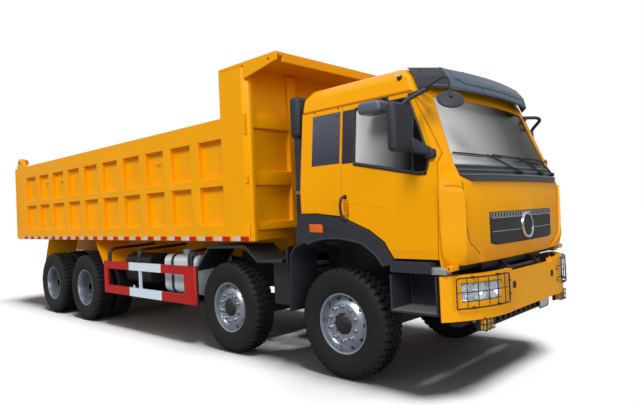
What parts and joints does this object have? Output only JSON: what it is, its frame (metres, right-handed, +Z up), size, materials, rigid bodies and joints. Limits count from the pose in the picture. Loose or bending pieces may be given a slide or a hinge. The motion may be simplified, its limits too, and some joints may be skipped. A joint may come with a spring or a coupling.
{
  "type": "dump truck",
  "caption": "Heavy rigid tipper truck with a ribbed steel load bed, canopy over a tilting cab, front hoist, twin steered axles and twin driven axles.",
  "frame": {"origin": "on the ground under the middle of the truck's length and width", "axes": "+X towards the front of the truck, +Y to its left, +Z up"},
  "size_m": [10.1875, 3.24, 3.363],
  "materials": {
    "yellow_paint": "gloss paint",
    "dark_plastic": "fine grain moulded plastic",
    "visor_plastic": "satin moulded plastic",
    "black_plastic": "moulded plastic",
    "frame_paint": "satin chassis paint",
    "engine_grey": "painted casting",
    "tank_metal": "satin",
    "guard_red": "gloss paint",
    "lamp_lens": "clear lens",
    "hoist_chrome": "polished",
    "cab_glass": "tinted",
    "tyre_rubber": "rubber",
    "rim_silver": "silver paint"
  },
  "bodies": {
    "root": {"chassis_frame": "frame_paint", "powertrain": "engine_grey", "steer_axles": "frame_paint", "drive_axles": "frame_paint", "leaf_springs": "frame_paint", "fuel_tank": "tank_metal", "side_equipment": "frame_paint", "air_intake": "dark_plastic", "side_guards": "guard_red", "mudguards": "black_plastic", "cab_steps": "dark_plastic", "front_bumper": "yellow_paint", "front_lamps": "lamp_lens", "rear_crossbar": "frame_paint"},
    "bed": {"bed_floor": "yellow_paint", "bed_sides": "yellow_paint", "bed_front_wall": "yellow_paint"},
    "tailgate": {"tailgate": "yellow_paint"},
    "cab": {"cab_front_panel": "yellow_paint", "cab_sides": "yellow_paint", "cab_back_wall": "yellow_paint", "cab_roof": "yellow_paint", "cab_floor": "frame_paint", "cab_glass": "cab_glass", "grille_and_cowl": "dark_plastic", "sun_visor": "visor_plastic", "wheel_arch_flares": "dark_plastic", "cab_interior": "black_plastic"},
    "hoist_barrel": {"hoist_barrel": "yellow_paint"},
    "hoist_stage_1": {"hoist_stage_1": "hoist_chrome"},
    "hoist_stage_2": {"hoist_stage_2": "hoist_chrome"},
    "hoist_stage_3": {"hoist_stage_3": "hoist_chrome"},
    "hoist_stage_4": {"hoist_stage_4": "hoist_chrome"},
    "door_right": {"door_right": "yellow_paint", "door_glass_right": "cab_glass", "door_mirror_right": "dark_plastic"},
    "door_left": {"door_left": "yellow_paint", "door_glass_left": "cab_glass", "door_mirror_left": "dark_plastic"},
    "knuckle_1_right": {"knuckle_1_right": "frame_paint"},
    "wheel_1_right": {"tyre_1_right": "tyre_rubber", "rim_1_right": "rim_silver"},
    "knuckle_1_left": {"knuckle_1_left": "frame_paint"},
    "wheel_1_left": {"tyre_1_left": "tyre_rubber", "rim_1_left": "rim_silver"},
    "knuckle_2_right": {"knuckle_2_right": "frame_paint"},
    "wheel_2_right": {"tyre_2_right": "tyre_rubber", "rim_2_right": "rim_silver"},
    "knuckle_2_left": {"knuckle_2_left": "frame_paint"},
    "wheel_2_left": {"tyre_2_left": "tyre_rubber", "rim_2_left": "rim_silver"},
    "wheel_3_right": {"tyres_3_right": "tyre_rubber", "rims_3_right": "rim_silver"},
    "wheel_3_left": {"tyres_3_left": "tyre_rubber", "rims_3_left": "rim_silver"},
    "wheel_4_right": {"tyres_4_right": "tyre_rubber", "rims_4_right": "rim_silver"},
    "wheel_4_left": {"tyres_4_left": "tyre_rubber", "rims_4_left": "rim_silver"}
  },
  "joints": [
    {"name": "steer_1_right", "type": "hinge", "parent": "root", "child": "knuckle_1_right", "pos_m": [3.608, -0.86, 0.543], "axis": [0, 0, 1], "range_deg": [-35, 35]},
    {"name": "roll_1_right", "type": "hinge", "parent": "knuckle_1_right", "child": "wheel_1_right", "pos_m": [3.608, -1.005, 0.543], "axis": [0, 1, 0], "continuous": true},
    {"name": "steer_1_left", "type": "hinge", "parent": "root", "child": "knuckle_1_left", "pos_m": [3.608, 0.86, 0.543], "axis": [0, 0, 1], "range_deg": [-35, 35]},
    {"name": "roll_1_left", "type": "hinge", "parent": "knuckle_1_left", "child": "wheel_1_left", "pos_m": [3.608, 1.005, 0.543], "axis": [0, 1, 0], "continuous": true},
    {"name": "steer_2_right", "type": "hinge", "parent": "root", "child": "knuckle_2_right", "pos_m": [1.808, -0.86, 0.543], "axis": [0, 0, 1], "range_deg": [-25.2, 25.2]},
    {"name": "roll_2_right", "type": "hinge", "parent": "knuckle_2_right", "child": "wheel_2_right", "pos_m": [1.808, -1.005, 0.543], "axis": [0, 1, 0], "continuous": true},
    {"name": "steer_2_left", "type": "hinge", "parent": "root", "child": "knuckle_2_left", "pos_m": [1.808, 0.86, 0.543], "axis": [0, 0, 1], "range_deg": [-25.2, 25.2]},
    {"name": "roll_2_left", "type": "hinge", "parent": "knuckle_2_left", "child": "wheel_2_left", "pos_m": [1.808, 1.005, 0.543], "axis": [0, 1, 0], "continuous": true},
    {"name": "roll_3_right", "type": "hinge", "parent": "root", "child": "wheel_3_right", "pos_m": [-2.052, -1.075, 0.543], "axis": [0, 1, 0], "continuous": true},
    {"name": "roll_3_left", "type": "hinge", "parent": "root", "child": "wheel_3_left", "pos_m": [-2.052, 1.075, 0.543], "axis": [0, 1, 0], "continuous": true},
    {"name": "roll_4_right", "type": "hinge", "parent": "root", "child": "wheel_4_right", "pos_m": [-3.402, -1.075, 0.543], "axis": [0, 1, 0], "continuous": true},
    {"name": "roll_4_left", "type": "hinge", "parent": "root", "child": "wheel_4_left", "pos_m": [-3.402, 1.075, 0.543], "axis": [0, 1, 0], "continuous": true},
    {"name": "bed_tilt", "type": "hinge", "parent": "root", "child": "bed", "pos_m": [-4.442, 0, 1.17], "axis": [0, -1, 0], "range_deg": [0, 45]},
    {"name": "tailgate_swing", "type": "hinge", "parent": "bed", "child": "tailgate", "pos_m": [-4.792, 0, 2.9], "axis": [0, 1, 0], "range_deg": [0, 60]},
    {"name": "cab_tilt", "type": "hinge", "parent": "root", "child": "cab", "pos_m": [4.938, 0, 1.05], "axis": [0, 1, 0], "range_deg": [0, 45]},
    {"name": "door_right_swing", "type": "hinge", "parent": "cab", "child": "door_right", "pos_m": [4.78, -1.24, 1.8], "axis": [0, 0, 1], "range_deg": [0, 70]},
    {"name": "door_left_swing", "type": "hinge", "parent": "cab", "child": "door_left", "pos_m": [4.78, 1.24, 1.8], "axis": [0, 0, -1], "range_deg": [0, 70]},
    {"name": "hoist_swing", "type": "hinge", "parent": "root", "child": "hoist_barrel", "pos_m": [2.858, 0, 1], "axis": [0, -1, 0], "range_deg": [0, 25.74]},
    {"name": "hoist_slide_1", "type": "slide", "parent": "hoist_barrel", "child": "hoist_stage_1", "axis": [-0.0278, 0, 0.9996], "range_m": [0, 1.3659]},
    {"name": "hoist_slide_2", "type": "slide", "parent": "hoist_stage_1", "child": "hoist_stage_2", "axis": [-0.0278, 0, 0.9996], "range_m": [0, 1.3659]},
    {"name": "hoist_slide_3", "type": "slide", "parent": "hoist_stage_2", "child": "hoist_stage_3", "axis": [-0.0278, 0, 0.9996], "range_m": [0, 1.3659]},
    {"name": "hoist_slide_4", "type": "slide", "parent": "hoist_stage_3", "child": "hoist_stage_4", "axis": [-0.0278, 0, 0.9996], "range_m": [0, 1.3659]}
  ],
  "couplings": [
    {"joint": "steer_1_left", "follows": "steer_1_right", "ratio": 1},
    {"joint": "steer_2_right", "follows": "steer_1_right", "ratio": 0.716},
    {"joint": "steer_2_left", "follows": "steer_1_right", "ratio": 0.716},
    {"joint": "hoist_swing", "follows": "bed_tilt", "ratio": 0.57091},
    {"joint": "hoist_slide_1", "follows": "bed_tilt", "m_per_rad": 1.7366},
    {"joint": "hoist_slide_2", "follows": "bed_tilt", "m_per_rad": 1.7366},
    {"joint": "hoist_slide_3", "follows": "bed_tilt", "m_per_rad": 1.7366},
    {"joint": "hoist_slide_4", "follows": "bed_tilt", "m_per_rad": 1.7366}
  ]
}
